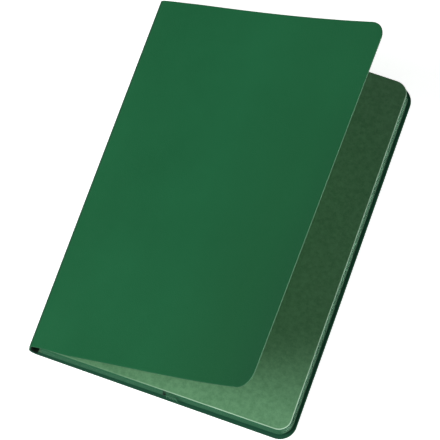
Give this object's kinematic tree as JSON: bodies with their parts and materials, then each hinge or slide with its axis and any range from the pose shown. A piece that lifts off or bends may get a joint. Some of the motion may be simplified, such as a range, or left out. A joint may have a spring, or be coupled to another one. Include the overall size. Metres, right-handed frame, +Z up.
{
  "type": "stamp album",
  "caption": "Soft-cover pocket-page album for stamps: leatherette cover on a hollow spine, card leaves with clear pocket strips, glassine sheets and a marker ribbon.",
  "frame": {"origin": "centre of the back cover's underside", "axes": "+X from the spine to the fore-edge, +Y from the tail to the head of the book, +Z up off the back cover"},
  "size_m": [0.148, 0.21, 0.0913],
  "materials": {
    "leatherette": "matte smooth-grained green leatherette",
    "endpaper": "uncoated green lining paper",
    "flyleaf": "uncoated green paper with a fine fleck",
    "card": "dyed green card",
    "hinge_cloth": "fine green binding linen",
    "binding": "black-green mull, glued",
    "pocket_film": "clear polyester film",
    "glassine": "smooth translucent glassine paper",
    "ribbon": "satin-woven ribbon"
  },
  "bodies": {
    "back_and_spine": {"back_cover": "leatherette", "spine_wrap": "leatherette", "back_endpaper": "endpaper", "spine_lining": "binding", "binding_core": "binding"},
    "spine_fold": {"front_joint_wrap": "leatherette"},
    "front_cover": {"front_cover": "leatherette", "front_endpaper": "endpaper"},
    "back_flyleaf": {"back_flyleaf": "flyleaf", "back_flyleaf_hinge": "hinge_cloth"},
    "leaf_1": {"leaf_1_card": "card", "leaf_1_hinge": "hinge_cloth", "leaf_1_front_pockets": "pocket_film", "leaf_1_back_pockets": "pocket_film", "leaf_1_glassine": "glassine"},
    "leaf_2": {"leaf_2_card": "card", "leaf_2_hinge": "hinge_cloth", "leaf_2_front_pockets": "pocket_film", "leaf_2_back_pockets": "pocket_film", "leaf_2_glassine": "glassine"},
    "leaf_3": {"leaf_3_card": "card", "leaf_3_hinge": "hinge_cloth", "leaf_3_front_pockets": "pocket_film", "leaf_3_back_pockets": "pocket_film", "leaf_3_glassine": "glassine"},
    "leaf_4": {"leaf_4_card": "card", "leaf_4_hinge": "hinge_cloth", "leaf_4_front_pockets": "pocket_film", "leaf_4_back_pockets": "pocket_film", "leaf_4_glassine": "glassine"},
    "leaf_5": {"leaf_5_card": "card", "leaf_5_hinge": "hinge_cloth", "leaf_5_front_pockets": "pocket_film", "leaf_5_back_pockets": "pocket_film", "leaf_5_glassine": "glassine"},
    "leaf_6": {"leaf_6_card": "card", "leaf_6_hinge": "hinge_cloth", "leaf_6_front_pockets": "pocket_film", "leaf_6_back_pockets": "pocket_film", "leaf_6_glassine": "glassine"},
    "leaf_7": {"leaf_7_card": "card", "leaf_7_hinge": "hinge_cloth", "leaf_7_front_pockets": "pocket_film", "leaf_7_back_pockets": "pocket_film", "leaf_7_glassine": "glassine"},
    "leaf_8": {"leaf_8_card": "card", "leaf_8_hinge": "hinge_cloth", "leaf_8_front_pockets": "pocket_film", "leaf_8_back_pockets": "pocket_film", "leaf_8_glassine": "glassine", "marker_ribbon": "ribbon"},
    "front_flyleaf": {"front_flyleaf": "flyleaf", "front_flyleaf_hinge": "hinge_cloth"}
  },
  "joints": [
    {"name": "front_cover_open", "type": "hinge", "parent": "back_and_spine", "child": "spine_fold", "pos_m": [-0.0735, 0, 0.00693], "axis": [0, -1, 0], "range_deg": [0, 90]},
    {"name": "front_cover_flex", "type": "hinge", "parent": "spine_fold", "child": "front_cover", "pos_m": [-0.07145, 0, 0.0107], "axis": [0, -1, 0], "range_deg": [-26, 55]},
    {"name": "back_flyleaf_turn", "type": "hinge", "parent": "back_and_spine", "child": "back_flyleaf", "pos_m": [-0.0686, 0, 0.0015], "axis": [0, -1, 0], "range_deg": [0, 6.6]},
    {"name": "leaf_1_turn", "type": "hinge", "parent": "back_and_spine", "child": "leaf_1", "pos_m": [-0.06871, 0, 0.00219], "axis": [0, -1, 0], "range_deg": [0, 13.2]},
    {"name": "leaf_2_turn", "type": "hinge", "parent": "back_and_spine", "child": "leaf_2", "pos_m": [-0.06886, 0, 0.00313], "axis": [0, -1, 0], "range_deg": [0, 19.8]},
    {"name": "leaf_3_turn", "type": "hinge", "parent": "back_and_spine", "child": "leaf_3", "pos_m": [-0.06901, 0, 0.00407], "axis": [0, -1, 0], "range_deg": [0, 26.4]},
    {"name": "leaf_4_turn", "type": "hinge", "parent": "back_and_spine", "child": "leaf_4", "pos_m": [-0.06916, 0, 0.00501], "axis": [0, -1, 0], "range_deg": [0, 33]},
    {"name": "leaf_5_turn", "type": "hinge", "parent": "back_and_spine", "child": "leaf_5", "pos_m": [-0.06931, 0, 0.00595], "axis": [0, -1, 0], "range_deg": [0, 39.6]},
    {"name": "leaf_6_turn", "type": "hinge", "parent": "back_and_spine", "child": "leaf_6", "pos_m": [-0.06946, 0, 0.00689], "axis": [0, -1, 0], "range_deg": [0, 46.2]},
    {"name": "leaf_7_turn", "type": "hinge", "parent": "back_and_spine", "child": "leaf_7", "pos_m": [-0.06961, 0, 0.00783], "axis": [0, -1, 0], "range_deg": [0, 52.8]},
    {"name": "leaf_8_turn", "type": "hinge", "parent": "back_and_spine", "child": "leaf_8", "pos_m": [-0.06976, 0, 0.00877], "axis": [0, -1, 0], "range_deg": [0, 59.4]},
    {"name": "front_flyleaf_turn", "type": "hinge", "parent": "back_and_spine", "child": "front_flyleaf", "pos_m": [-0.0699, 0, 0.00967], "axis": [0, -1, 0], "range_deg": [0, 66]}
  ],
  "couplings": [
    {"joint": "back_flyleaf_turn", "follows": "front_cover_open", "ratio": 0.073333},
    {"joint": "leaf_1_turn", "follows": "front_cover_open", "ratio": 0.14667},
    {"joint": "leaf_2_turn", "follows": "front_cover_open", "ratio": 0.22},
    {"joint": "leaf_3_turn", "follows": "front_cover_open", "ratio": 0.29333},
    {"joint": "leaf_4_turn", "follows": "front_cover_open", "ratio": 0.36667},
    {"joint": "leaf_5_turn", "follows": "front_cover_open", "ratio": 0.44},
    {"joint": "leaf_6_turn", "follows": "front_cover_open", "ratio": 0.51333},
    {"joint": "leaf_7_turn", "follows": "front_cover_open", "ratio": 0.58667},
    {"joint": "leaf_8_turn", "follows": "front_cover_open", "ratio": 0.66},
    {"joint": "front_flyleaf_turn", "follows": "front_cover_open", "ratio": 0.73333}
  ]
}
